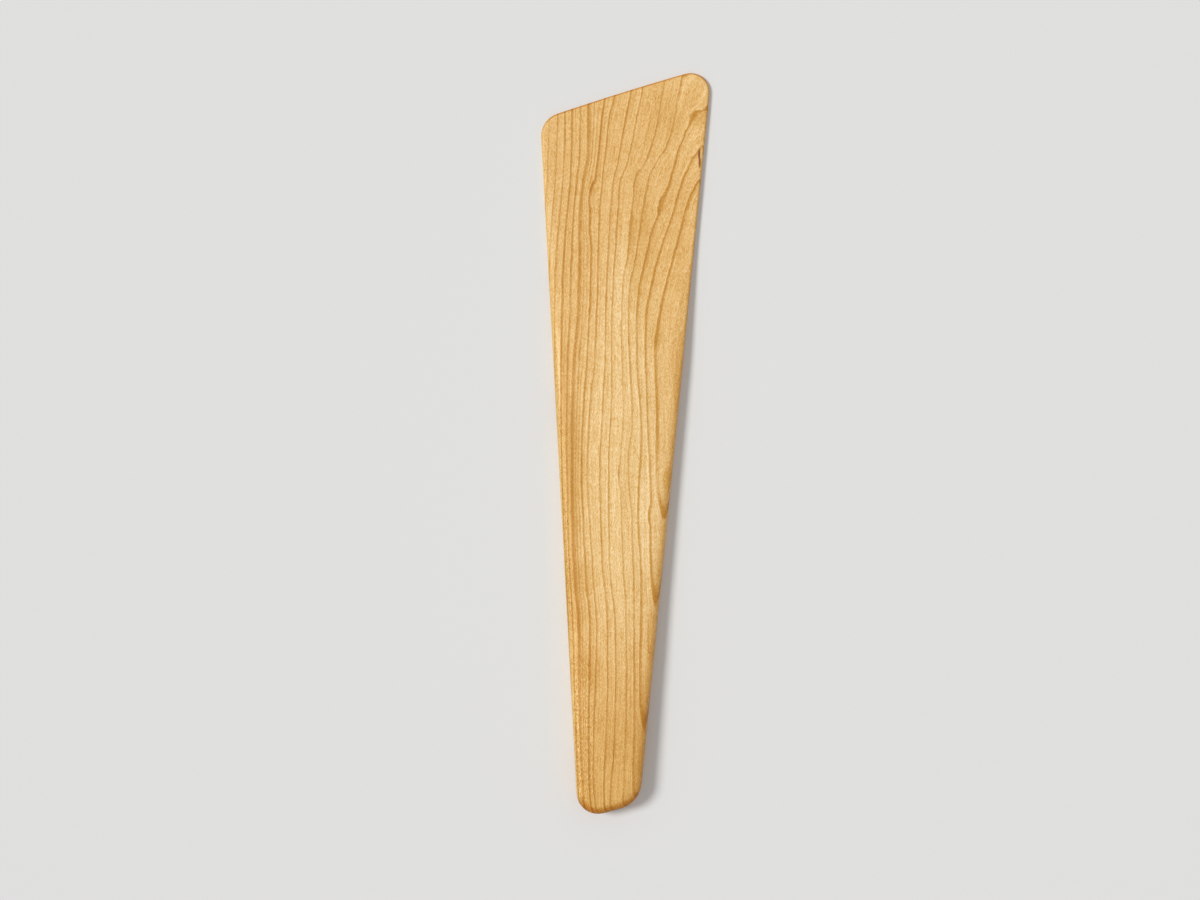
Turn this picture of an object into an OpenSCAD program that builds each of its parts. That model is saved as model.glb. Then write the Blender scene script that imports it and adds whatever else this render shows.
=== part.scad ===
// A flat wooden turner, cut and shaped from one board.
//
// The turner lies on its flat underside. +Y runs from the butt of the handle towards
// the slanted working edge, +X towards the blade's long side and +Z up, out of the face
// that is planed thin. The origin is under the middle of the whole outline.
//
// Seen from above, the outline is the belt around four corner circles. From the side it
// is a long wedge: a thick grip, a scoop that runs the thickness down, and a thin blade.
// The edge rounding grows with it, from a broken edge on the blade to a soft grip.

/* [Outline] */
// Length from the lowest point of the butt to the highest point of the tip
total_l = 318; // [280:1:360]
// Width over both corners of the blade
blade_w = 72; // [60:1:90]
// Width between the two sides of the handle, carried on to the end of the butt
butt_w = 26.2; // [24:0.1:36]
// Sideways place of the butt's middle, measured from the middle of the blade
butt_shift = -0.8; // [-6:0.1:6]
// Slant of the working edge, in degrees from square
edge_slant = 18.6; // [5:0.1:28]
// How far the working edge bows out between its corners
edge_bow = 0.4; // [0:0.1:2]
// Slant of the butt, in degrees from square
butt_slant = 16.3; // [5:0.1:18]

/* [Corners] */
// Corner radius at the tip, where the long side meets the working edge
tip_r = 8; // [5:0.1:14]
// Corner radius where the short side meets the working edge
heel_r = 9.9; // [5:0.1:14]
// Corner radius at the butt, below the long side
butt_right_r = 12; // [8:0.1:13]
// Corner radius at the butt, below the short side
butt_left_r = 9.2; // [7:0.1:10]

/* [Thickness] */
// Thickness at the working edge, before its corners are rounded
edge_t = 2.2; // [1.8:0.1:4]
// Thickness of the blade where the scoop ends
blade_t = 3.2; // [2.4:0.1:5]
// Thickness of the handle where the scoop begins
neck_t = 6.4; // [5.5:0.1:8]
// Thickness of the handle at the butt
butt_t = 12; // [9:0.1:16]
// Length of the thin blade, back from the working edge
blade_l = 62; // [40:1:80]
// Length of the scoop between the blade and the handle
scoop_l = 56; // [30:1:80]
// Height of the handle's crown, from its sides to its middle
crown_h = 0.6; // [0:0.1:1.5]

/* [Edge rounding] */
// Width of the rounding around the top of the grip
grip_round_w = 4.6; // [3:0.1:6]
// Depth of the rounding around the top of the grip
grip_round_h = 4.2; // [2:0.1:5]
// Radius of the rounding around the underside of the grip
grip_under_r = 3; // [1:0.1:4]
// Width of the softened top edge on the short side of the blade
heel_side_w = 2.6; // [1:0.1:4]
// Width of the softened top edge on the long side of the blade
long_side_w = 1.4; // [0.8:0.1:4]
// Width of the softened top edge along the working edge
work_edge_w = 1.2; // [0.8:0.1:3]
// Depth of the softened top edge around the blade
blade_round_h = 1; // [0.5:0.1:1.2]
// Radius of the softened lower edge around the blade
blade_under_r = 0.7; // [0.3:0.1:0.8]

/* [Smoothness] */
// Steps around each corner
corner_steps = 11; // [6:1:16]
// Steps along each side
side_steps = 38; // [20:1:50]
// Steps across the board
cross_steps = 6; // [4:2:10]
// Steps over the top rounding
round_steps = 6; // [3:1:8]
// Steps under the lower rounding
under_steps = 5; // [3:1:6]

/* [Hidden] */

// Depth of wood that is planed off to leave the underside true
planing = 0.02;
// Space kept around the board by the block that planes it
planing_room = 5;
// Greatest share of the thickness that each rounding may take
top_share = 0.5;
under_share = 0.32;

function unit(a) = [cos(a), sin(a)];
function mix(a, b, f) = a + (b - a) * f;
function clamp01(f) = min(1, max(0, f));
function ease(f) = f * f * (3 - 2 * f);
function blend(lo, hi, v) = ease(clamp01((v - lo) / (hi - lo)));

// Where two lines cross, each given by its normal's direction and its distance
function cross_point(a, ca, b, cb) =
    let (det = sin(b - a))
    [(ca * sin(b) - cb * sin(a)) / det, (cb * cos(a) - ca * cos(b)) / det];

// Lean of a line that starts at a point and touches a circle on its outer side,
// for a side of the board that lies to the right of the point's circle
function touching_lean(from, centre, radius) =
    let (run = centre - from)
    atan2(run.x, run.y) + asin(radius / norm(run));

// Directions that the working edge and the butt face
edge_dir = 90 + edge_slant;
butt_dir = butt_slant - 90;

// The tip's circle touches the end and the long side of the whole outline
tip_c = [blade_w / 2 - tip_r, total_l / 2 - tip_r];
edge_d = tip_c * unit(edge_dir) + tip_r;

// The heel's circle touches the working edge and the short side of the outline
heel_x = heel_r - blade_w / 2;
heel_c = [heel_x, (edge_d - heel_r - heel_x * cos(edge_dir)) / sin(edge_dir)];

// Each side runs from its place at the butt to its corner circle on the blade
right_foot = [butt_shift + butt_w / 2, -total_l / 2];
left_foot = [butt_shift - butt_w / 2, -total_l / 2];
right_lean = touching_lean(right_foot, tip_c, tip_r);
left_lean = touching_lean([-left_foot.x, left_foot.y], [-heel_c.x, heel_c.y], heel_r);
right_dir = -right_lean;
left_dir = 180 + left_lean;
right_d = right_foot * unit(right_dir);
left_d = left_foot * unit(left_dir);

// The left butt circle is the lowest of all, and the right one meets the slanted butt
butt_left_y = butt_left_r - total_l / 2;
butt_left_c = [(left_d - butt_left_r - butt_left_y * sin(left_dir)) / cos(left_dir), butt_left_y];
butt_d = butt_left_c * unit(butt_dir) + butt_left_r;
butt_right_c = cross_point(right_dir, right_d - butt_right_r, butt_dir, butt_d - butt_right_r);

// Points around one corner, each with the direction that the outline faces there
function corner(centre, radius, from, to) =
    [for (i = [0:corner_steps])
        let (a = mix(from, to, i / corner_steps))
        [centre + radius * unit(a), a]];

// Points along one side between two corners, without the corners' own points
function side(from, to) =
    [for (i = [1:side_steps - 1]) [mix(from[0], to[0], i / side_steps), from[1]]];

function flank(top, bottom) = concat(top, side(top[corner_steps], bottom[0]), bottom);

// The two flanks run from the working edge to the butt, with as many points each
right_flank = flank(
    corner(tip_c, tip_r, edge_dir, right_dir),
    corner(butt_right_c, butt_right_r, right_dir, butt_dir));
left_flank = flank(
    corner(heel_c, heel_r, edge_dir, left_dir),
    corner(butt_left_c, butt_left_r, left_dir, 360 + butt_dir));
rungs = len(left_flank);

// Distance back from the working edge. It is square to the edge on the blade and
// turns with the scoop until it runs straight down the handle.
edge_mid_y = edge_d / sin(edge_dir);
scoop_end = blade_l + scoop_l;
handle_end = edge_mid_y + total_l / 2;
function back(p) =
    let (along = edge_mid_y - p.y, square = edge_d - p * unit(edge_dir))
    mix(square, along, blend(0, scoop_end, along));

// Slopes of the thickness on the blade and on the handle
blade_slope = (blade_t - edge_t) / blade_l;
handle_slope = (butt_t - neck_t) / (handle_end - scoop_end);

// The scoop is a cubic that leaves the blade and meets the handle at their own slopes
function scoop(f) =
    let (f2 = f * f, f3 = f2 * f)
    blade_t * (2 * f3 - 3 * f2 + 1) + neck_t * (3 * f2 - 2 * f3)
    + scoop_l * (blade_slope * (f3 - 2 * f2 + f) + handle_slope * (f3 - f2));

// Thickness at the sides of the board, at a distance back from the working edge
function thickness(d) =
    d < blade_l ? edge_t + blade_slope * max(0, d)
    : d < scoop_end ? scoop((d - blade_l) / scoop_l)
    : neck_t + handle_slope * (d - scoop_end);

// How much of the grip's shape there is: none on the blade, all past the scoop
function grip(d) = blend(blade_l, scoop_end, d);

// Width and depth of the top rounding, and radius of the lower one, at a point of the
// outline. The blade's three edges differ, and the corners turn from one to the next.
function blade_edge_w(a) =
    work_edge_w
    + (heel_side_w - work_edge_w) * pow(max(0, -cos(a)), 2)
    + (long_side_w - work_edge_w) * pow(max(0, cos(a)), 2);
function round_w(q) = mix(blade_edge_w(q[1]), grip_round_w, grip(back(q[0])));
function round_h(q) =
    let (d = back(q[0]))
    min(mix(blade_round_h, grip_round_h, grip(d)), top_share * thickness(d));
function under_r(q) =
    let (d = back(q[0]))
    min(mix(blade_under_r, grip_under_r, grip(d)), under_share * thickness(d));

// A point of the outline moved inwards
function inward(q, by) = q[0] - by * unit(q[1]);

// A curve across the board that is nothing at both sides and 1 in the middle
function arch(f) = 1 - pow(2 * f - 1, 2);

// The bow of the working edge at a place across it, for the ladder's first rung alone
function bow(k, f) = (k == 0 ? edge_bow * arch(f) : 0) * unit(edge_dir);

// Every rung of the ladder that carries the top face, from side to side
function rung(k) =
    let (
        l = inward(left_flank[k], round_w(left_flank[k])),
        r = inward(right_flank[k], round_w(right_flank[k])))
    [for (j = [0:cross_steps])
        let (
            f = j / cross_steps,
            p = mix(l, r, f) + bow(k, f),
            crown = crown_h * arch(f) * grip(back(p)) * butt_fade(k))
        [p.x, p.y, thickness(back(p)) + crown]];

// The crown runs out again at the butt, so that the end meets it level
function butt_fade(k) = ease(clamp01((rungs - 1 - k) / (1.5 * corner_steps)));

top_face = [for (k = [0:rungs - 1]) each rung(k)];

// The rim of the ladder, once around and leftwards along the working edge first
rim = concat(
    [for (j = [cross_steps:-1:0]) [0, j]],
    [for (k = [1:rungs - 1]) [k, 0]],
    [for (j = [1:cross_steps]) [rungs - 1, j]],
    [for (k = [rungs - 2:-1:1]) [k, cross_steps]]);
rim_n = len(rim);

// The outline's own point beside each place on the rim
function outline_at(cell) =
    let (k = cell[0], f = cell[1] / cross_steps, l = left_flank[k], r = right_flank[k])
    cell[1] == 0 ? l
    : cell[1] == cross_steps ? r
    : [mix(l[0], r[0], f) + bow(k, f), r[1]];
outline = [for (cell = rim) outline_at(cell)];

function cell_id(cell) = cell[0] * (cross_steps + 1) + cell[1];

// One ring of the top rounding, from the face (0 degrees) to the wall (90 degrees)
function top_ring(a) =
    [for (i = [0:rim_n - 1])
        let (
            q = outline[i],
            p = inward(q, round_w(q) * (1 - sin(a))))
        [p.x, p.y, top_face[cell_id(rim[i])].z - round_h(q) * (1 - cos(a))]];

// One ring of the lower rounding, from the wall (90 degrees) to the underside
function under_ring(a) =
    [for (q = outline)
        let (
            r = under_r(q),
            p = inward(q, r * (1 - sin(a))))
        [p.x, p.y, r * (1 - cos(a)) - planing]];

rings = concat(
    [for (s = [1:round_steps]) top_ring(90 * s / round_steps)],
    [for (s = [under_steps:-1:0]) under_ring(90 * s / under_steps)]);

// Place of a ring's point in the list of all points. Ring 0 is the rim of the top face.
function ring_id(ring, i) =
    let (n = i % rim_n)
    ring == 0 ? cell_id(rim[n]) : len(top_face) + (ring - 1) * rim_n + n;

function quad(a, b, c, d) = [[a, b, c], [a, c, d]];

face_skin = [for (k = [0:rungs - 2], j = [0:cross_steps - 1])
    each quad(cell_id([k, j]), cell_id([k, j + 1]), cell_id([k + 1, j + 1]), cell_id([k + 1, j]))];
edge_skin = [for (s = [0:len(rings) - 1], i = [0:rim_n - 1])
    each quad(ring_id(s, i), ring_id(s, i + 1), ring_id(s + 1, i + 1), ring_id(s + 1, i))];
underside = [[for (i = [0:rim_n - 1]) ring_id(len(rings), i)]];

// The shaped board, with a little wood left on its underside
module shaped_board() {
    polyhedron(
        points = concat(top_face, [for (r = rings) each r]),
        faces = concat(face_skin, edge_skin, underside),
        convexity = 4);
}

// The space above the bench, which trims the underside to one true plane
module planing_block() {
    size = [blade_w + 2 * planing_room, total_l + 2 * planing_room, butt_t + crown_h + planing_room];
    translate([-size.x / 2, -size.y / 2, 0]) cube(size);
}

module turner() {
    color("#deb16b") intersection() {
        shaped_board();
        planing_block();
    }
}

turner();
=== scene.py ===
import math

import bpy
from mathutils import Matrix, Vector


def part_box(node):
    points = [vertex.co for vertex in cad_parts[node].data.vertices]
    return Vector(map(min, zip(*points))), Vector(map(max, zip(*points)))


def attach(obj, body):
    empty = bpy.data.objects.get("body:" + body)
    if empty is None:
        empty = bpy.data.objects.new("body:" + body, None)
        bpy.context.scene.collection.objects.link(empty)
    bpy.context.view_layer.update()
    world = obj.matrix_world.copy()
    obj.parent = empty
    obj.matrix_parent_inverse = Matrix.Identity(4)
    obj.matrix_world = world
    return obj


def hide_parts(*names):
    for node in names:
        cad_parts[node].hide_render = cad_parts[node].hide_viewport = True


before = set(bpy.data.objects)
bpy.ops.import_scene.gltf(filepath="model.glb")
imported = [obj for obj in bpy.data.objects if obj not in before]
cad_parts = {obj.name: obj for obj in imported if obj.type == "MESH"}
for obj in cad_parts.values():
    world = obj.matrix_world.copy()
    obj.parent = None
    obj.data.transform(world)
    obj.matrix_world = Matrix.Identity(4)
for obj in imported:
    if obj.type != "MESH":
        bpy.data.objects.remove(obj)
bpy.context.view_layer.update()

mm = 0.001
print("frame loaded:", sorted(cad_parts))


# the photograph looks straight down on the turner, which leans a little in its frame
photoView = {
    "lens": 60.0,
    "sensorWidth": 36.0,
    "frameWidth": 513.1,         # mm of table that the frame's width takes in
    "middle": (-7.7, -3.8),      # mm, what the middle of the frame looks at
    "height": 5.0,               # mm, height on the turner where that width is right
    "turn": 1.27,                # degrees
}


def addCamera(view):
    distance = view["frameWidth"] * view["lens"] / view["sensorWidth"]
    x, y = view["middle"]
    bpy.ops.object.camera_add(
        location=(x * mm, y * mm, (distance + view["height"]) * mm),
        rotation=(0, 0, math.radians(view["turn"])))
    camera = bpy.context.object
    camera.name = "photoCamera"
    camera.data.lens = view["lens"]
    camera.data.sensor_width = view["sensorWidth"]
    bpy.context.scene.camera = camera
    print("camera", round(distance), "mm above the turner")


studio = {
    "keyPlace": (-1.9, 0.35, 2.25),       # broad soft light from the left
    "keySpread": 18.0,                    # degrees that it seems wide, seen from the turner
    "keyStrength": 2.02,
    "overheadPlace": (0.0, 0.06, 1.75),   # small lamp over the camera, for the sheen
    "overheadSize": 0.30,
    "overheadPower": 3.2,
    "fill": 0.34,                         # the white room's light on everything
    "floorColour": (0.80, 0.80, 0.79),
    "floorWidth": 12.0,
}


def addLamp(name, kind, place, strength):
    bpy.ops.object.light_add(type=kind, location=place)
    lamp = bpy.context.object
    lamp.name = name
    lamp.data.energy = strength
    lamp.rotation_euler = (-Vector(place)).to_track_quat("-Z", "Y").to_euler()
    return lamp.data


def addStudio(room):
    key = addLamp("keyLamp", "SUN", room["keyPlace"], room["keyStrength"])
    key.angle = math.radians(room["keySpread"])
    overhead = addLamp("overheadLamp", "AREA", room["overheadPlace"], room["overheadPower"])
    overhead.shape = "DISK"
    overhead.size = room["overheadSize"]

    bpy.ops.mesh.primitive_plane_add(size=room["floorWidth"], location=(0, 0, -0.0001))
    floor = bpy.context.object
    floor.name = "studioFloor"
    paint = bpy.data.materials.new("paleFloor")
    paint.use_nodes = True
    shader = paint.node_tree.nodes["Principled BSDF"]
    shader.inputs["Base Color"].default_value = (*room["floorColour"], 1)
    shader.inputs["Roughness"].default_value = 0.9
    shader.inputs["Specular IOR Level"].default_value = 0.2
    floor.data.materials.append(paint)

    # the camera sees the room in the floor's own colour, whatever light the room gives
    world = bpy.data.worlds.new("whiteRoom")
    bpy.context.scene.world = world
    world.use_nodes = True
    tree = world.node_tree
    fill = tree.nodes["Background"]
    fill.inputs["Color"].default_value = (1, 1, 1, 1)
    fill.inputs["Strength"].default_value = room["fill"]
    seen = tree.nodes.new("ShaderNodeBackground")
    seen.inputs["Color"].default_value = (*room["floorColour"], 1)
    rays = tree.nodes.new("ShaderNodeLightPath")
    chosen = tree.nodes.new("ShaderNodeMixShader")
    tree.links.new(rays.outputs["Is Camera Ray"], chosen.inputs["Fac"])
    tree.links.new(fill.outputs[0], chosen.inputs[1])
    tree.links.new(seen.outputs[0], chosen.inputs[2])
    tree.links.new(chosen.outputs[0], tree.nodes["World Output"].inputs["Surface"])
    bpy.context.scene.view_settings.view_transform = "Standard"
    print("studio ready")


# the turner in mm and degrees, with the same values as the solid part
turner = {
    "edgeSlant": 18.6,           # working edge, up to the right
    "edgeBow": 0.4,              # how far its middle stands out
    "buttSlant": 16.3,
    "tipRadius": 8.0, "heelRadius": 9.9, "buttRightRadius": 12.0, "buttLeftRadius": 9.2,
    "buttWidth": 26.2, "buttShift": -0.8,
    "edgeThick": 2.2, "bladeThick": 3.2, "neckThick": 6.4, "buttThick": 12.0,
    "bladeLength": 62.0, "scoopLength": 56.0,
    "crown": 0.6,                # rise of the handle's top across its width
    "blankSpare": 20.0,          # sawn off the blank all round
    "sideSteps": 64, "endSteps": 12, "cornerSteps": 10, "roundSteps": 5,
    "rimStrip": 6.0,             # strip along the rim that the rounding is cut into
    "edgeRound": 1.1, "longSideRound": 1.3, "heelSideRound": 2.2, "gripRound": 4.5,
    "rightRoundEnd": 215.0,      # how far back the right side comes to its full rounding
    "topShare": 0.6,             # most of the thickness that the top rounding takes
    "bladeUnderRound": 0.7, "gripUnderRound": 3.0,
    "underShare": 0.3,
    "sandingWaves": 26.0, "sandingDepth": 0.16,
}


def unit(degrees):
    return Vector((math.cos(math.radians(degrees)), math.sin(math.radians(degrees)), 0))


def mix(a, b, f):
    return a + (b - a) * f


def ease(low, high, value):
    f = min(1, max(0, (value - low) / (high - low)))
    return f * f * (3 - 2 * f)


def crossing(first, second):
    # where two sides meet, each given by the direction that it faces and its distance
    (a, atA), (b, atB) = first, second
    turn = math.sin(math.radians(b - a))
    return (unit(b - 90) * atA - unit(a - 90) * atB) / turn


def touchingLean(start, centre, radius):
    # lean of a side that starts at its foot and just touches its upper corner's circle
    run = centre - start
    return math.degrees(math.atan2(run.x, run.y) + math.asin(radius / run.length))


def drawSides(t, width, length):
    edgeFaces, buttFaces = 90 + t["edgeSlant"], t["buttSlant"] - 90
    tip = Vector((width / 2 - t["tipRadius"], length / 2 - t["tipRadius"], 0))
    edge = (edgeFaces, tip.dot(unit(edgeFaces)) + t["tipRadius"])
    heel = crossing((0, t["heelRadius"] - width / 2), (edge[0], edge[1] - t["heelRadius"]))
    rightFoot = Vector((t["buttShift"] + t["buttWidth"] / 2, -length / 2, 0))
    leftFoot = Vector((t["buttShift"] - t["buttWidth"] / 2, -length / 2, 0))
    mirrored = Vector((-1, 1, 1))
    rightFaces = -touchingLean(rightFoot, tip, t["tipRadius"])
    leftFaces = 180 + touchingLean(leftFoot * mirrored, heel * mirrored, t["heelRadius"])
    right = (rightFaces, rightFoot.dot(unit(rightFaces)))
    left = (leftFaces, leftFoot.dot(unit(leftFaces)))
    radius = t["buttLeftRadius"]
    buttLeft = crossing((90, radius - length / 2), (left[0], left[1] - radius))
    butt = (buttFaces, buttLeft.dot(unit(buttFaces)) + radius)
    return edge, left, butt, right


def fromSide(side, spot):
    return side[1] - spot.dot(unit(side[0]))


def pick(piece, kind, parts, wanted):
    # in edit mode: selects the edges or faces that are as wanted
    bpy.ops.mesh.select_mode(type=kind)
    bpy.ops.mesh.select_all(action="DESELECT")
    bpy.ops.object.mode_set(mode="OBJECT")
    for part in getattr(piece.data, parts):
        part.select = wanted(part)
    bpy.ops.object.mode_set(mode="EDIT")


def pickEdges(piece, wanted):
    # the same for edges by their two ends, in mm
    def ends(edge):
        return (piece.data.vertices[end].co / mm for end in edge.vertices)
    pick(piece, "EDGE", "edges", lambda edge: wanted(*ends(edge)))


def pickFlat(piece, up):
    # the one large face on the top or the underside
    pick(piece, "FACE", "polygons", lambda face: (
        len(face.vertices) > 4 and (face.normal.z > 0) == up))


def sawBlank(piece, t, sides):
    for faces, at in sides:
        bpy.ops.mesh.select_all(action="SELECT")
        bpy.ops.mesh.bisect(
            plane_co=unit(faces) * at * mm, plane_no=unit(faces),
            clear_outer=True, use_fill=True)

    # the four corners are rounded, each to its own radius
    radii = [t["heelRadius"], t["buttLeftRadius"], t["buttRightRadius"], t["tipRadius"]]
    for side, following, radius in zip(sides, sides[1:] + sides[:1], radii):
        spot = crossing(side, following).xy
        pickEdges(piece, lambda a, b: (a.xy - spot).length < 0.1 and (b.xy - spot).length < 0.1)
        half = math.radians(180 - (following[0] - side[0]) % 360) / 2
        bulge = (1 + 2 * math.sin(half)) / (2 + 2 * math.sin(half))     # a true arc's profile
        bpy.ops.mesh.bevel(
            affect="EDGES", offset=radius / math.tan(half) * mm, segments=t["cornerSteps"],
            profile=bulge * bulge, clamp_overlap=False)

    # the straight sides are divided into short steps
    for side, steps in zip(sides, (t["endSteps"], t["sideSteps"]) * 2):
        pickEdges(piece, lambda a, b: (
            (a - b).xy.length > 2 and max(abs(fromSide(side, a)), abs(fromSide(side, b))) < 0.001))
        bpy.ops.mesh.subdivide(number_cuts=steps - 1)
    print("outline sawn")


def layRungs(piece, t, sides, up):
    # opens the large face and lays even rungs between the two long sides
    pickFlat(piece, up)
    bpy.ops.mesh.delete(type="ONLY_FACE")
    ends = (sides[0], sides[2])
    pickEdges(piece, lambda a, b: (a.z > 1) == up and any(
        abs(fromSide(end, a) - t["rimStrip"]) + abs(fromSide(end, b) - t["rimStrip"]) < 0.01
        for end in ends))
    bpy.ops.mesh.fill_grid(use_interp_simple=True)


def addTurner(t):
    low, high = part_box("turner")
    width, length = (high.x - low.x) / mm, (high.y - low.y) / mm
    sides = drawSides(t, width, length)
    edge, left, butt, right = sides
    edgeMiddle = edge[1] / unit(edge[0]).y
    scoopEnd = t["bladeLength"] + t["scoopLength"]
    bladeSlope = (t["bladeThick"] - t["edgeThick"]) / t["bladeLength"]
    handleSlope = (t["buttThick"] - t["neckThick"]) / (edgeMiddle + length / 2 - scoopEnd)

    def back(spot):
        # distance back from the working edge: square to it first, then along the handle
        along = edgeMiddle - spot.y
        return mix(fromSide(edge, spot), along, ease(0, scoopEnd, along))

    def thickness(spot):
        d = back(spot)
        if d < t["bladeLength"]:
            return t["edgeThick"] + bladeSlope * max(0, d)
        if d > scoopEnd:
            return t["neckThick"] + handleSlope * (d - scoopEnd)
        f = (d - t["bladeLength"]) / t["scoopLength"]
        bend = bladeSlope * f * (f - 1) ** 2 + handleSlope * f * f * (f - 1)
        return mix(t["bladeThick"], t["neckThick"], ease(0, 1, f)) + t["scoopLength"] * bend

    def grip(spot, end=scoopEnd):
        return ease(t["bladeLength"], end, back(spot))

    def topRound(spot, run):
        rightSide = spot.x > 12
        side = t["longSideRound"] if rightSide else t["heelSideRound"]
        blade = mix(t["edgeRound"], side, abs(run.dot(unit(edge[0]))))
        gripped = grip(spot, t["rightRoundEnd"]) if rightSide else grip(spot)
        return min(mix(blade, t["gripRound"], gripped), t["topShare"] * thickness(spot))

    def underRound(spot):
        wide = mix(t["bladeUnderRound"], t["gripUnderRound"], grip(spot))
        return min(wide, t["underShare"] * thickness(spot))

    bpy.ops.object.select_all(action="DESELECT")
    bpy.ops.mesh.primitive_cube_add(
        size=mm, location=(0, 0, t["buttThick"] * mm / 2),
        scale=(width + 2 * t["blankSpare"], length + 2 * t["blankSpare"], t["buttThick"]))
    piece = bpy.context.object
    piece.name = "turnerBoard"
    bpy.ops.object.transform_apply(location=True, rotation=True, scale=True)
    bpy.ops.object.mode_set(mode="EDIT")
    sawBlank(piece, t, sides)
    for up in (True, False):
        pickFlat(piece, up)
        bpy.ops.mesh.inset(thickness=t["rimStrip"] * mm, depth=0)

    # the scoop is planed out of the top, then each rim edge says how wide it is rounded
    bpy.ops.mesh.select_mode(type="EDGE")
    bpy.ops.mesh.select_all(action="DESELECT")
    bpy.ops.mesh.edges_select_sharp(sharpness=math.radians(60))
    bpy.ops.object.mode_set(mode="OBJECT")
    corners = piece.data.vertices
    weights = piece.data.attributes.new("bevel_weight_edge", "FLOAT", "EDGE")
    for rim in piece.data.edges:
        if rim.select:
            a, b = (corners[end].co / mm for end in rim.vertices)
            spot, run = (a + b) / 2, (b - a).normalized()
            wide = topRound(spot, run) if spot.z > 1 else underRound(spot)
            weights.data[rim.index].value = wide / t["gripRound"]
    for corner in corners:
        if corner.co.z > mm:
            corner.co.z = thickness(corner.co / mm) * mm
    rounding = piece.modifiers.new("rounding", "BEVEL")
    rounding.limit_method = "WEIGHT"
    rounding.width = t["gripRound"] * mm
    rounding.segments = t["roundSteps"]
    rounding.use_clamp_overlap = False
    bpy.ops.object.modifier_apply(modifier=rounding.name)
    bpy.ops.object.mode_set(mode="EDIT")
    for up in (True, False):
        layRungs(piece, t, sides, up)
    bpy.ops.mesh.select_all(action="SELECT")
    bpy.ops.mesh.normals_make_consistent(inside=False)
    bpy.ops.object.mode_set(mode="OBJECT")
    print("rims rounded:", len(piece.data.polygons), "faces")

    # the top follows the scoop all over, with a crown on the handle and a bow in the edge
    for corner in piece.data.vertices:
        spot = corner.co / mm
        thick = thickness(spot)
        if spot.z > 1 and min(fromSide(side, spot) for side in sides) > t["rimStrip"] - 0.1:
            spot.z = thick
        fromLeft, fromRight = fromSide(left, spot), fromSide(right, spot)
        share = max(0, 4 * fromLeft * fromRight) / (fromLeft + fromRight) ** 2
        fade = ease(0, 20, spot.y + length / 2)
        spot.z += t["crown"] * share * grip(spot) * fade * spot.z / thick
        spot += unit(edge[0]) * t["edgeBow"] * share ** 2 * (1 - ease(0, 40, back(spot)))
        corner.co = spot * mm
    smooth = piece.modifiers.new("smooth", "SUBSURF")
    smooth.levels = smooth.render_levels = 1
    bpy.ops.object.modifier_apply(modifier=smooth.name)

    # hand sanding leaves the worked faces a little wavy, and the planed underside true
    worked = piece.vertex_groups.new(name="worked")
    for corner in piece.data.vertices:
        worked.add([corner.index], ease(0, 2, corner.co.z / mm), "REPLACE")
    waves = bpy.data.textures.new("sandingWaves", "CLOUDS")
    waves.noise_scale = t["sandingWaves"] * mm
    waves.noise_depth = 0
    sand = piece.modifiers.new("sanded", "DISPLACE")
    sand.texture = waves
    sand.texture_coords = "LOCAL"
    sand.vertex_group = worked.name
    sand.strength = t["sandingDepth"] * mm
    sand.mid_level = 1
    bpy.ops.object.modifier_apply(modifier=sand.name)
    bpy.ops.object.shade_smooth()

    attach(piece, "root")
    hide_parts("turner")
    print("turner shaped:", len(piece.data.polygons), "faces")
    return piece


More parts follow.
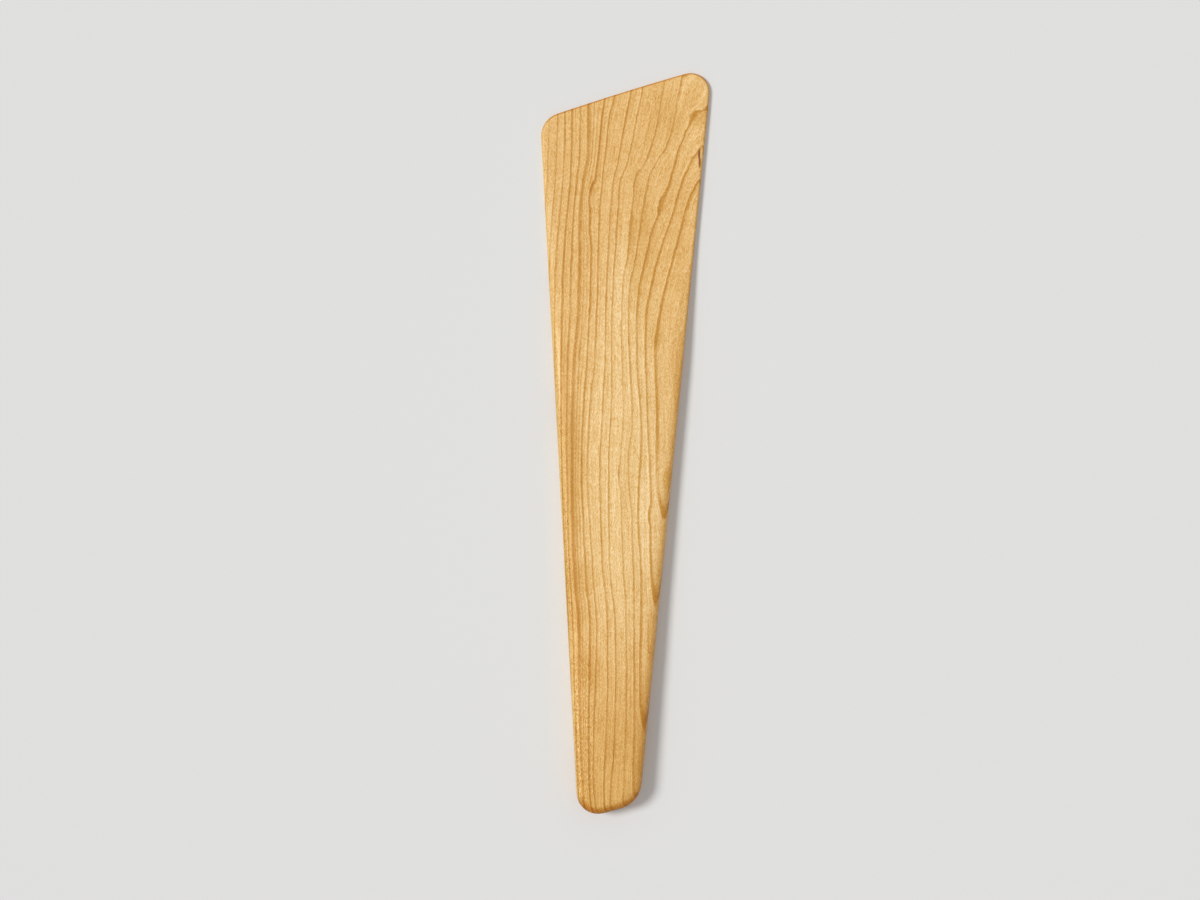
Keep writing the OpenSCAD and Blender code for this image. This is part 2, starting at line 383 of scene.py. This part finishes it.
# the wood's grain, in mm from the turner's origin
grain = {
    # height of the top face along the turner, from which the rings go down
    "topFace": [(-165, 12.2), (32, 6.5), (60, 4.7), (88, 3.2), (165, 2.2)],
    # how far the rings lie over, by place across the board
    "slope": [(-40, 0.12), (-20, 0.25), (0, 0.5), (15, 0.9), (25, 1.3), (40, 1.6)],
    # eight rings drawn on the top face: place across at the neck, then (along, across)
    "guides": [
        (-25.3, [(-165, -16.5), (-80, -20.5), (0, -24.6), (65, -25.5), (85, -25), (130, -23), (165, -23.8)]),
        (-19.3, [(-165, -11), (-100, -14.8), (-80, -15.3), (-60, -17.2), (-20, -19.5), (20, -20),
                 (65, -18.5), (90, -18.7), (110, -17.8), (130, -15.8), (165, -17.5)]),
        (-10.5, [(-165, -5), (-130, -7.8), (-90, -7.5), (-60, -9.3), (-35, -11.4), (-5, -13.2),
                 (20, -12.2), (40, -10.6), (80, -10.5), (130, -7.8), (150, -4.8), (165, -2.8)]),
        (-3.7, [(-165, -0.8), (-150, 0), (-120, 1.3), (-95, 1.1), (-75, 0), (-50, -2.8), (-10, -4),
                (20, -3.3), (60, -3.8), (90, -3), (108, -2), (120, 1.2), (165, 9)]),
        (3.5, [(-165, 8.5), (-140, 9.5), (-70, 8.2), (-30, 6.2), (-10, 4.3), (8, 5.6), (30, 4.7),
               (60, 3.3), (80, 5.7), (110, 9.7), (130, 19), (150, 22.5), (165, 24.5)]),
        (6.8, [(-165, 17.4), (-126, 12.9), (-105, 11.4), (-60, 10.9), (-25, 9), (0, 9.6), (30, 7.7),
               (55, 6.9), (80, 10.2), (110, 19.2), (137, 26.4), (141.5, 28.8), (142.8, 33),
               (145.5, 36), (165, 50)]),
        (10.7, [(-165, 27), (-67, 16), (-45, 14.5), (-20, 14.1), (0, 12.7), (30, 11.2), (50, 10.8),
                (70, 13.3), (100, 21.8), (120, 27.8), (127, 32.5), (135, 44), (165, 56)]),
        (16.3, [(-165, 33), (-39, 20.2), (-12, 16.1), (10, 16), (40, 14.9), (55, 16.5), (80, 21.8),
                (105, 28.2), (113, 32.5), (122, 46), (165, 62)])],
    # each ring's dark line: place across at the neck, darkness, breadth
    "rings": [
        (-38.5, 0.5, 1.0), (-35, 0.5, 1.0), (-31.5, 0.7, 0.8), (-28.4, 0.75, 0.9), (-25.3, 0.95, 1.1),
        (-24.0, 0.3, 0.5), (-22.3, 0.8, 1.0), (-20.9, 0.5, 0.6), (-19.3, 0.85, 1.9),
        (-17.1, 0.55, 0.7), (-15.6, 0.35, 0.6), (-13.8, 1.0, 1.1), (-12.2, 0.2, 0.5),
        (-10.5, 0.85, 0.9), (-9.1, 0.25, 0.6), (-6.5, 0.9, 0.95), (-5.2, 0.2, 0.5),
        (-3.7, 0.85, 0.9), (0.5, 0.65, 0.95), (2.1, 0.2, 0.6), (3.5, 0.8, 1.0), (6.8, 0.95, 1.2),
        (8.6, 0.2, 0.6), (10.7, 1.0, 1.3), (16.3, 1.0, 1.35), (24.3, 0.2, 2.4), (31, 0.8, 1.6),
        (37, 0.7, 1.4), (44, 0.7, 1.4)],
    # small knots below push the rings aside: middle, reach across and along, how far
    "kinks": [
        ((-14, 106), (4, 7), 1.0), ((-14, 97), (4, 16), 1.0), ((14, -31), (3, 5), 0.6),
        ((5, 112), (3, 7), 0.5), ((0.5, -15), (3, 6), 0.5), ((16, 102), (4, 5), 0.4),
        ((29.4, 142.5), (1.5, 1.6), 0.4)],
    # where a ring's line is bolder: middle, reach across and along, how much
    "bold": [
        ((32, 142), (7, 6), 2.4), ((15.5, 102), (3, 6), 0.8), ((10.5, 126), (3, 7), 0.4),
        ((5, 113), (2.5, 7), 0.2), ((17.5, -15), (4, 14), -0.4), ((17.5, -64), (2.5, 10), 0.3),
        ((14, -120), (2.5, 9), 0.2), ((2.5, 88), (3, 16), 0.45)],
    # the middle under the painted sheen, where the lines are fainter: middle, reach, how much
    "calm": ((1, -5), (24, 105), 0.1),
    # paler and darker places on the top: middle, reach across and along, how much. The first is a painted
    # sheen over the middle, the one along the left edge at 42 is painted light on that rounding, and the
    # broad dark one at the butt is painted shade
    "patches": [
        ((1, -5), (24, 105), 1.0), ((-1, 70), (6, 26), 0.4), ((-27.5, 42), (3, 40), 0.25),
        ((13, -30), (8, 60), 0.3),
        ((-14, -59), (9, 9), -0.65), ((-15, -74), (5, 7), -0.4), ((-11, -98), (9, 12), -0.6),
        ((15.5, 46), (4, 8), -0.6), ((26, 68), (7, 5), -0.3), ((16, 103), (3, 8), -0.4),
        ((-13.8, 109.5), (1.8, 5), -1.0), ((-19, -14), (6, 42), -0.75), ((8, -60), (8, 11), -0.3),
        ((32, 139), (6, 5), -0.6), ((5, 112), (2, 8), -0.3), ((5, -150), (30, 60), -0.75),
        ((-12, -155), (6, 5), -0.7), ((-20.5, -67), (4, 26), -0.5), ((8, 80), (8, 38), -0.6),
        ((-17.3, 38), (1.3, 6), -0.7), ((20.1, -16), (2.3, 6), -1.0), ((5, -15), (7, 34), -0.3),
        ((18, 140), (10, 14), -0.5), ((25, 84), (6, 8), -0.3)],
    # paler and darker bands along a side, painted light and shade on its rounding: distance in from it,
    # place along it, how much
    "bands": {
        (184.36, 25.96): [
            ((1.6, 3.0), (15, 200), 0.35), ((0.8, 3.6), (84, 100), 0.65),
            ((1.4, 3.1), (-38, -4), 0.65), ((-2, 1.6), (0, 74), -0.45),
            ((3.0, 6.5), (-95, 40), -0.45)],
        (-4.37, 24.39): [((1.7, 3.4), (8, 50), -0.6)],
    },
    "bandBlur": (0.4, 14),
    # small dark mineral streaks
    "marks": [
        ((32.0, 124.0), (0.75, 3.2), 1.0), ((32.3, 120.4), (0.7, 3.2), 1.0),
        ((0.5, -14), (0.8, 3), 0.25)],
    # the coarser specks of the butt's left side: middle, reach, how much
    "specks": ((-14, -135), (9, 60), 0.2),
}
colours = {
    "wood": (0.843, 0.518, 0.190),
    "toneSwing": (0.55, 1.0, 2.0),       # the grain shows most in blue and least in red
    "ringTint": (0.72, 0.55, 0.24),
    # painted sheen on the left side, painted shade on the right slope and right face
    "leftSheenTint": (0.93, 0.98, 0.98),
    "rightSlopeShadeTint": (1.15, 1.02, 0.76),
    "rightShadeTint": (1.0, 0.83, 0.56),
    "endTint": (0.75, 0.54, 0.23),
    "rayTint": (0.62, 0.41, 0.13),
    "poreTint": (0.76, 0.62, 0.35),
    "paleTint": (1.09, 1.20, 1.46),
    "darkTint": (0.87, 0.79, 0.56),
    "markTint": (0.36, 0.19, 0.06),
}


def addNode(tree, kind, **settings):
    node = tree.nodes.new("ShaderNode" + kind)
    for name, value in settings.items():
        setattr(node, name, value)
    return node


def plug(tree, value, socket):
    if isinstance(value, bpy.types.NodeSocket):
        tree.links.new(value, socket)
    else:
        socket.default_value = value


def calc(tree, operation, a, b=0.0, c=None):
    node = addNode(tree, "Math", operation=operation)
    plug(tree, a, node.inputs[0])
    plug(tree, b, node.inputs[1])
    if c is not None:
        plug(tree, c, node.inputs[2])
    return node.outputs[0]


def total(tree, *values):
    result = values[0]
    for value in values[1:]:
        result = calc(tree, "ADD", result, value)
    return result


def remap(tree, value, low, high, newLow=0.0, newHigh=1.0, steps="SMOOTHSTEP"):
    node = addNode(tree, "MapRange", interpolation_type=steps)
    for name, given in (
            ("Value", value), ("From Min", low), ("From Max", high),
            ("To Min", newLow), ("To Max", newHigh)):
        plug(tree, given, node.inputs[name])
    return node.outputs["Result"]


def drawnCurve(tree, value, points, low, high):
    # a drawn curve over a range, in real units both ways
    bottom, top = min(p[1] for p in points), max(p[1] for p in points)
    node = addNode(tree, "FloatCurve")
    curve = node.mapping.curves[0]
    for place, height in points:
        spot = ((place - low) / (high - low), (height - bottom) / (top - bottom))
        if place in (low, high):
            end = curve.points[0] if place == low else curve.points[-1]
            end.location = spot
        else:
            curve.points.new(*spot)
    for point in curve.points:
        point.handle_type = "AUTO_CLAMPED"
    node.mapping.update()
    plug(tree, remap(tree, value, low, high, steps="LINEAR"), node.inputs["Value"])
    return remap(tree, node.outputs[0], 0.0, 1.0, bottom, top, steps="LINEAR")


def joined(tree, x, y, z):
    node = addNode(tree, "CombineXYZ")
    for value, socket in zip((x, y, z), node.inputs):
        plug(tree, value, socket)
    return node.outputs[0]


def noise(tree, place, size, detail=2.0, roughness=0.5, centred=True):
    # noise whose grains have the given size in mm along each axis of the place
    scaled = addNode(tree, "VectorMath", operation="DIVIDE")
    plug(tree, place, scaled.inputs[0])
    scaled.inputs[1].default_value = size
    node = addNode(tree, "TexNoise")
    plug(tree, scaled.outputs[0], node.inputs["Vector"])
    node.inputs["Scale"].default_value = 1
    node.inputs["Detail"].default_value = detail
    node.inputs["Roughness"].default_value = roughness
    value = node.outputs[0]
    return remap(tree, value, 0.25, 0.75, -1.0, 1.0, steps="LINEAR") if centred else value


def spotMask(tree, x, y, middle, reach):
    # 1 in the middle, 0 past the reach, smooth between
    across = calc(tree, "DIVIDE", calc(tree, "SUBTRACT", x, middle[0]), reach[0])
    along = calc(tree, "DIVIDE", calc(tree, "SUBTRACT", y, middle[1]), reach[1])
    squared = calc(tree, "MULTIPLY_ADD", across, across, calc(tree, "MULTIPLY", along, along))
    return remap(tree, squared, 1.0, 0.0)


def tinted(tree, colour, factor, tint):
    node = addNode(tree, "Mix", data_type="RGBA", blend_type="MULTIPLY")
    plug(tree, factor, node.inputs["Factor"])
    plug(tree, colour, node.inputs["A"])
    plug(tree, (*tint, 1) if isinstance(tint, tuple) else tint, node.inputs["B"])
    return node.outputs["Result"]


def makeMaple():
    material = bpy.data.materials.new("oiledMaple")
    material.use_nodes = True
    tree = material.node_tree
    shader = tree.nodes["Principled BSDF"]

    coordinates = addNode(tree, "TexCoord")
    inMm = addNode(tree, "VectorMath", operation="SCALE")
    tree.links.new(coordinates.outputs["Object"], inMm.inputs[0])
    inMm.inputs["Scale"].default_value = 1 / mm
    place = inMm.outputs[0]
    split = addNode(tree, "SeparateXYZ")
    tree.links.new(place, split.inputs[0])
    x, y, z = split.outputs

    # straight up the leaning ring to the top face, then along the guides to the neck
    slope = drawnCurve(tree, x, grain["slope"], -40, 40)
    depth = calc(tree, "SUBTRACT", drawnCurve(tree, y, grain["topFace"], -165, 165), z)
    onTop = calc(tree, "SUBTRACT", x, calc(tree, "MULTIPLY", slope, depth))
    shaken = total(
        tree, y, calc(tree, "MULTIPLY", noise(tree, place, (5, 5, 5)), 0.9),
        calc(tree, "MULTIPLY", noise(tree, place, (1.6, 1.6, 1.6)), 0.25))
    guides = [(at, drawnCurve(tree, shaken, line, -165, 165)) for at, line in grain["guides"]]
    (firstAt, firstLine), (lastAt, lastLine) = guides[0], guides[-1]
    across = total(
        tree, firstAt,
        calc(tree, "MINIMUM", calc(tree, "SUBTRACT", onTop, firstLine), 0.0),
        calc(tree, "MAXIMUM", calc(tree, "SUBTRACT", onTop, lastLine), 0.0))
    spread = before = 1.0
    for (at, line), (nextAt, nextLine) in zip(guides, guides[1:]):
        share = remap(tree, onTop, line, nextLine, steps="LINEAR")
        across = calc(tree, "MULTIPLY_ADD", share, nextAt - at, across)
        apart = calc(tree, "DIVIDE", calc(tree, "SUBTRACT", nextLine, line), nextAt - at)
        passed = calc(tree, "GREATER_THAN", onTop, line)
        spread = calc(tree, "MULTIPLY_ADD", passed, calc(tree, "SUBTRACT", apart, before), spread)
        before = apart
    slow = noise(tree, place, (11, 38, 11))
    quick = noise(tree, place, (4, 11, 4))
    short = noise(tree, place, (1.5, 2.6, 1.5))
    for middle, reach, push in grain["kinks"]:
        across = calc(tree, "MULTIPLY_ADD", spotMask(tree, onTop, y, middle, reach), push, across)
    across = calc(tree, "MULTIPLY_ADD", slow, 0.25, across)
    across = calc(tree, "MULTIPLY_ADD", quick, 0.14, across)
    across = calc(tree, "MULTIPLY_ADD", short, 0.07, across)

    # the ramp gives each spot its own ring's place, darkness and breadth
    low, high = -42.0, 46.0
    ramp = addNode(tree, "ValToRGB")
    ramp.color_ramp.interpolation = "CONSTANT"
    first = ramp.color_ramp.elements[0]
    ramp.color_ramp.elements.remove(ramp.color_ramp.elements[1])
    for number, (ring, dark, broad) in enumerate(grain["rings"]):
        start = (ring - 1.1 * broad - low) / (high - low)
        element = first if number == 0 else ramp.color_ramp.elements.new(start)
        element.color = ((ring - low) / (high - low), dark, broad / 2, 1)
    plug(tree, remap(tree, across, low, high, steps="LINEAR"), ramp.inputs[0])
    own = addNode(tree, "SeparateColor")
    tree.links.new(ramp.outputs[0], own.inputs[0])
    ringAt = remap(tree, own.outputs[0], 0.0, 1.0, low, high, steps="LINEAR")
    bold = total(tree, 1.0, *(
        calc(tree, "MULTIPLY", spotMask(tree, onTop, y, middle, reach), more)
        for middle, reach, more in grain["bold"]))
    broad = calc(tree, "MULTIPLY", calc(tree, "MULTIPLY", own.outputs[2], 2.0), bold)
    middle, reach, less = grain["calm"]
    dark = calc(tree, "MINIMUM", calc(tree, "MULTIPLY", own.outputs[1], bold), 1.0)
    calm = calc(tree, "MULTIPLY_ADD", spotMask(tree, onTop, y, middle, reach), -less, 1.0)
    dark = calc(tree, "MULTIPLY", dark, calm)
    off = calc(tree, "MULTIPLY", calc(tree, "SUBTRACT", across, ringAt), spread)
    off = calc(tree, "DIVIDE", off, broad)
    sharp = remap(tree, off, -0.4, 0.0)           # abrupt on the bark side
    fading = remap(tree, off, 0.95, 0.15)         # fading towards the pith
    soft = remap(tree, off, 3.0, 0.0)
    pale = calc(tree, "MULTIPLY", remap(tree, off, -1.1, -0.6), remap(tree, off, -0.1, -0.5))
    line = calc(tree, "MULTIPLY_ADD", soft, 0.17, calc(tree, "MULTIPLY", fading, 0.95))
    line = calc(tree, "MULTIPLY", line, sharp)
    uneven = remap(tree, noise(tree, place, (5, 22, 5)), -1.0, 1.0, 0.7, 1.2, steps="LINEAR")
    line = calc(tree, "MULTIPLY", calc(tree, "MULTIPLY", line, dark), uneven)
    pale = calc(tree, "MULTIPLY", pale, dark)

    # fibres, pores and rays lie along the grain
    along = joined(tree, across, y, z)
    fibre = noise(tree, along, (0.28, 14, 0.28), detail=3.0, roughness=0.6)
    streak = noise(tree, along, (0.7, 60, 0.7))
    fleck = noise(tree, place, (0.35, 1.0, 0.35), detail=1.0)
    mottle = noise(tree, place, (1.5, 3.6, 1.5))
    pore = remap(tree, noise(tree, along, (0.3, 2.6, 0.3), detail=1.0), 0.62, 1.0)
    curl = noise(tree, place, (9, 3.2, 9))
    cloud = noise(tree, place, (20, 60, 20))

    # sides get painted light and shade: a painted sheen on the left, which faces the light, a warmer painted
    # shade on the right slope and a darker amber painted shade on the right face, which turn from it; end
    # grain drinks more oil, and the sides show the ends of the rays
    facing = addNode(tree, "SeparateXYZ")
    tree.links.new(coordinates.outputs["Normal"], facing.inputs[0])
    leftSheenMask = remap(tree, facing.outputs[0], -0.15, -0.8)
    rightSide = remap(tree, facing.outputs[0], 0.75, 0.95)
    rightSlopeShade = calc(tree, "SUBTRACT", remap(tree, facing.outputs[0], 0.15, 0.6), rightSide)
    endGrain = remap(tree, calc(tree, "ABSOLUTE", facing.outputs[1]), 0.1, 0.55)
    rays = remap(tree, noise(tree, place, (0.5, 0.9, 0.5), detail=1.0), 0.2, 0.75)
    rayEnds = total(
        tree, calc(tree, "MULTIPLY", remap(tree, facing.outputs[0], -0.25, -0.6), 0.95),
        calc(tree, "MULTIPLY", remap(tree, facing.outputs[0], -0.8, -1.0), -0.5),
        calc(tree, "MULTIPLY", remap(tree, facing.outputs[0], 0.3, 0.8), 0.3))
    ray = calc(tree, "MULTIPLY", calc(tree, "MULTIPLY", rays, rayEnds), remap(tree, y, 45, 0, 0.3))

    middle, reach, more = grain["specks"]
    specks = calc(tree, "MULTIPLY_ADD", spotMask(tree, x, y, middle, reach), more, 0.27)
    tone = total(
        tree,
        calc(tree, "MULTIPLY", fibre, 0.18),
        calc(tree, "MULTIPLY", streak, 0.11),
        calc(tree, "MULTIPLY", fleck, specks),
        calc(tree, "MULTIPLY", mottle, 0.05),
        calc(tree, "MULTIPLY", curl, 0.035),
        calc(tree, "MULTIPLY", cloud, 0.02))
    swings = [calc(tree, "MULTIPLY_ADD", tone, swing, 1.0) for swing in colours["toneSwing"]]
    colour = tinted(tree, (*colours["wood"], 1), 1.0, joined(tree, *swings))
    # among the patches are a painted sheen over the middle, painted light along the left edge and painted
    # shade over the butt
    for middle, reach, strength in grain["patches"]:
        patch = calc(tree, "MULTIPLY", spotMask(tree, onTop, y, middle, reach), abs(strength))
        colour = tinted(tree, colour, patch, colours["paleTint" if strength > 0 else "darkTint"])
    # bands of painted light and shade along the roundings of the two long sides
    for (faces, distance), bands in grain["bands"].items():
        outwards = unit(faces)
        inwards = total(
            tree, distance, calc(tree, "MULTIPLY", x, -outwards.x),
            calc(tree, "MULTIPLY", y, -outwards.y))
        for acrossBand, alongBand, strength in bands:
            band = abs(strength)
            for value, ends, blur in zip((inwards, y), (acrossBand, alongBand), grain["bandBlur"]):
                band = calc(tree, "MULTIPLY", band, remap(tree, value, ends[0] - blur, ends[0] + blur))
                band = calc(tree, "MULTIPLY", band, remap(tree, value, ends[1] + blur, ends[1] - blur))
            colour = tinted(tree, colour, band, colours["paleTint" if strength > 0 else "darkTint"])
    colour = tinted(tree, colour, calc(tree, "MULTIPLY", pale, 0.3), colours["paleTint"])
    colour = tinted(tree, colour, line, colours["ringTint"])
    for middle, reach, strength in grain["marks"]:
        mark = calc(tree, "MULTIPLY", spotMask(tree, x, y, middle, reach), strength)
        colour = tinted(tree, colour, mark, colours["markTint"])
    colour = tinted(tree, colour, calc(tree, "MULTIPLY", pore, 0.6), colours["poreTint"])
    # painted light and shade on the sides: sheen on the left, shade on the right slope and face
    colour = tinted(tree, colour, leftSheenMask, colours["leftSheenTint"])
    colour = tinted(tree, colour, rightSlopeShade, colours["rightSlopeShadeTint"])
    colour = tinted(tree, colour, rightSide, colours["rightShadeTint"])
    colour = tinted(tree, colour, endGrain, colours["endTint"])
    colour = tinted(tree, colour, ray, colours["rayTint"])
    tree.links.new(colour, shader.inputs["Base Color"])

    roughness = total(
        tree, 0.52, calc(tree, "MULTIPLY", fibre, 0.04), calc(tree, "MULTIPLY", line, -0.05),
        calc(tree, "MULTIPLY", endGrain, 0.12))
    tree.links.new(roughness, shader.inputs["Roughness"])
    height = total(
        tree, calc(tree, "MULTIPLY", fibre, 0.006), calc(tree, "MULTIPLY", pore, -0.012),
        calc(tree, "MULTIPLY", line, 0.010), calc(tree, "MULTIPLY", curl, 0.010))
    bump = addNode(tree, "Bump")
    bump.inputs["Distance"].default_value = mm
    tree.links.new(height, bump.inputs["Height"])
    tree.links.new(bump.outputs[0], shader.inputs["Normal"])
    shader.inputs["IOR"].default_value = 1.48
    shader.inputs["Specular IOR Level"].default_value = 0.25
    print("maple mixed:", len(tree.nodes), "nodes")
    return material


addCamera(photoView)
addStudio(studio)
turnerBoard = addTurner(turner)
turnerBoard.data.materials.append(makeMaple())
